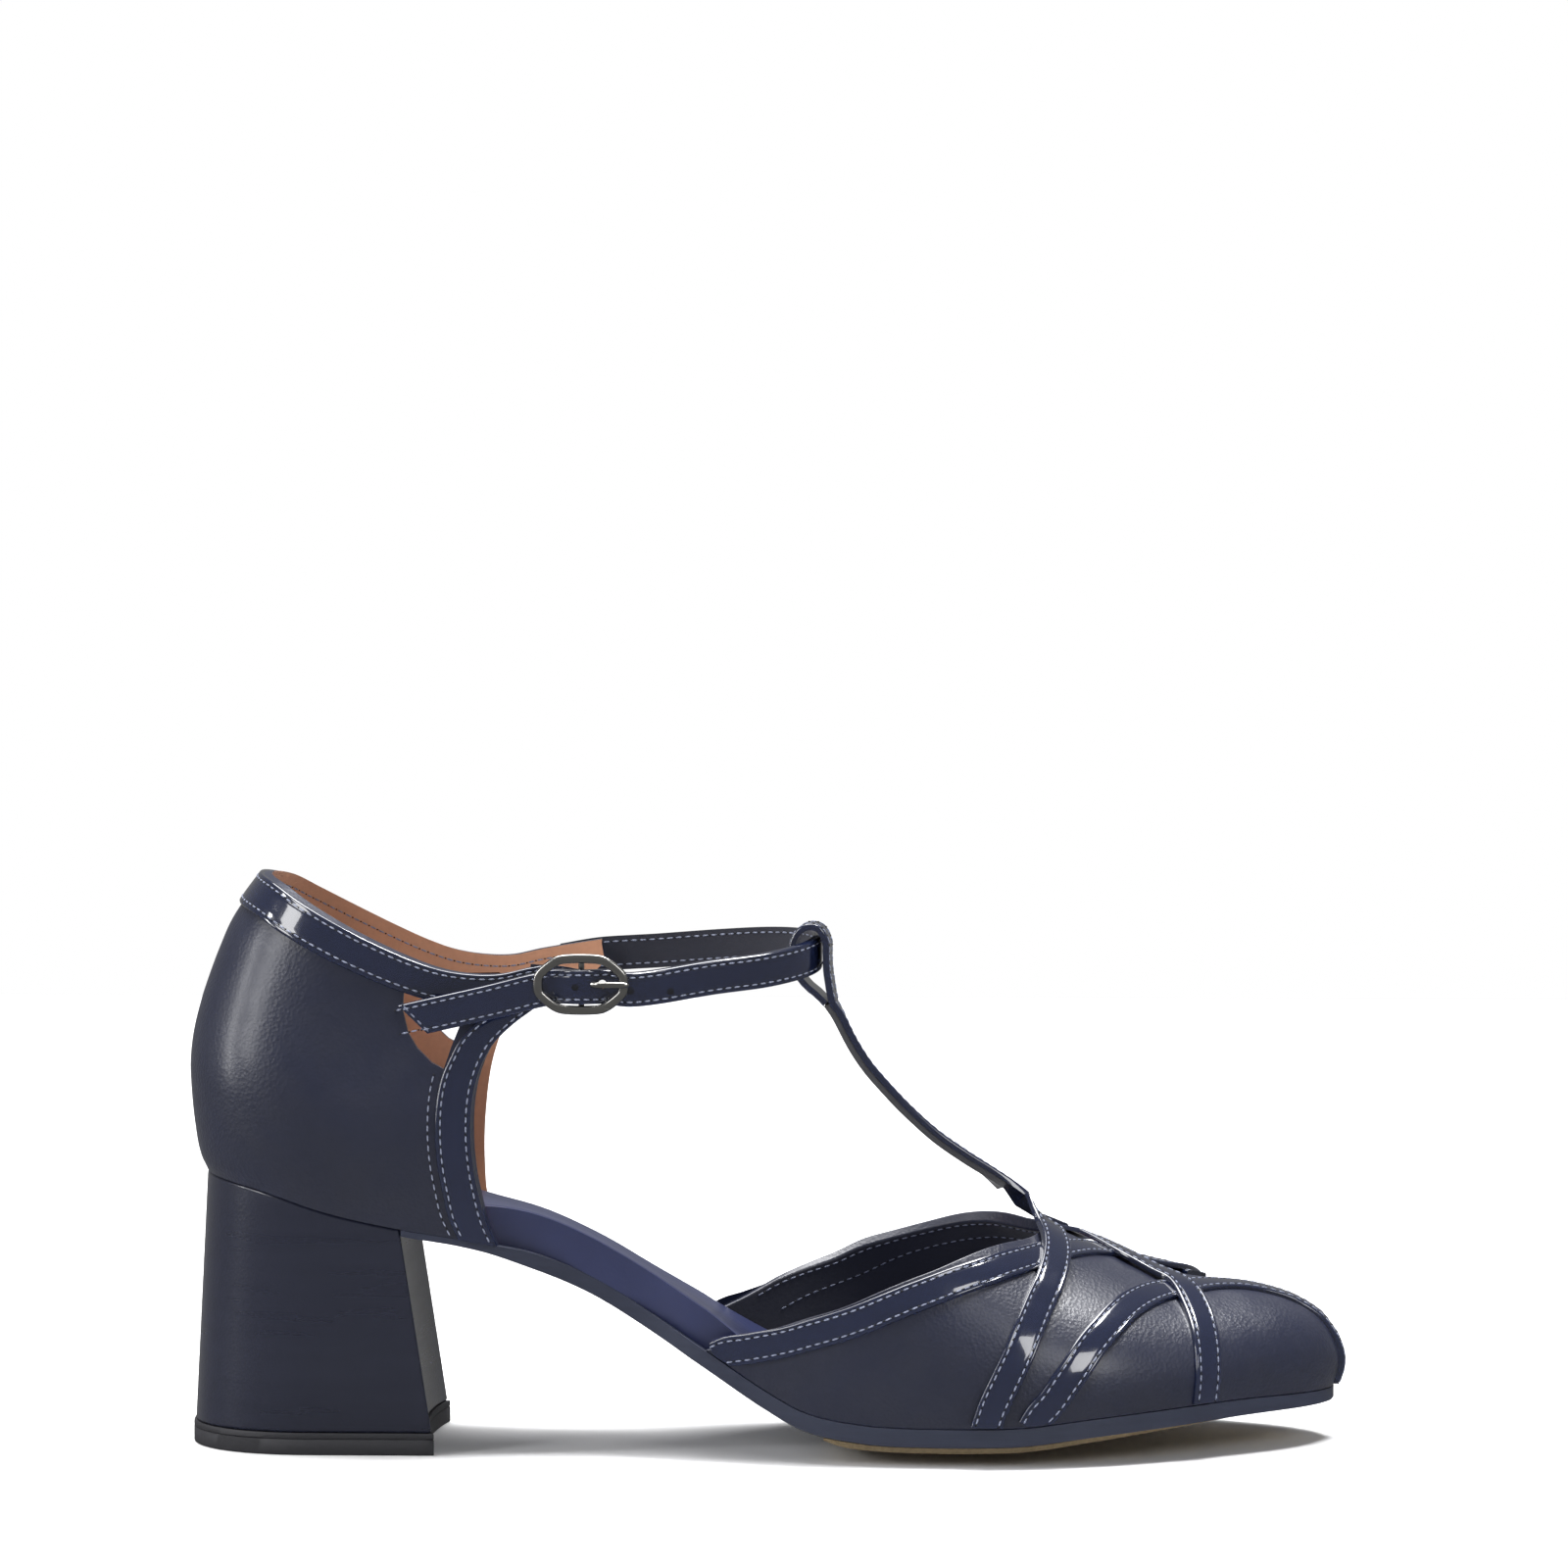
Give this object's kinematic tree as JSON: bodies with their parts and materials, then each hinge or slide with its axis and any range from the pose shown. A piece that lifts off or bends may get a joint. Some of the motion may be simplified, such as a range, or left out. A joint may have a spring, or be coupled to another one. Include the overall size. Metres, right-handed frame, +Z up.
{
  "type": "strappy pump",
  "caption": "Closed toe pump on a block heel, with an ankle strap, a T strap, laid on patent strips and open sides.",
  "frame": {"origin": "on the floor under the middle of the heel, on the flat bottom of the heel's top piece", "axes": "+X towards the toe, +Y towards the medial (inner) side of the foot, +Z up"},
  "size_m": [0.2363, 0.0804, 0.1165],
  "materials": {
    "patent_leather": "mirror gloss navy patent with stitched edges",
    "soft_leather": "satin fine grained navy leather with a tan lining in the quarter",
    "sock_leather": "smooth glossy navy sock",
    "sole_edge": "dark slate, satin",
    "tread_rubber": "matt tan rubber",
    "heel_cover": "satin navy leather wrap",
    "top_piece_rubber": "matt near black rubber",
    "strap_backing": "matt dark leather",
    "buckle_metal": "polished gunmetal"
  },
  "bodies": {
    "root": {"outsole": "sole_edge", "forepart_tread": "tread_rubber", "insole": "sock_leather", "heel_block": "heel_cover", "heel_top_piece": "top_piece_rubber", "quarter": "soft_leather", "vamp": "soft_leather", "collar_band": "patent_leather", "front_strap_lateral": "patent_leather", "front_strap_medial": "patent_leather", "vamp_strip_collar_lateral": "patent_leather", "vamp_strip_collar_medial": "patent_leather", "vamp_strip_toe_lateral": "patent_leather", "vamp_strip_toe_medial": "patent_leather", "vamp_strip_instep_medial": "patent_leather", "t_strap": "patent_leather", "t_strap_backing": "strap_backing", "ankle_strap": "patent_leather", "buckle_tab": "patent_leather", "buckle_frame": "buckle_metal", "buckle_prong": "buckle_metal"}
  },
  "joints": []
}
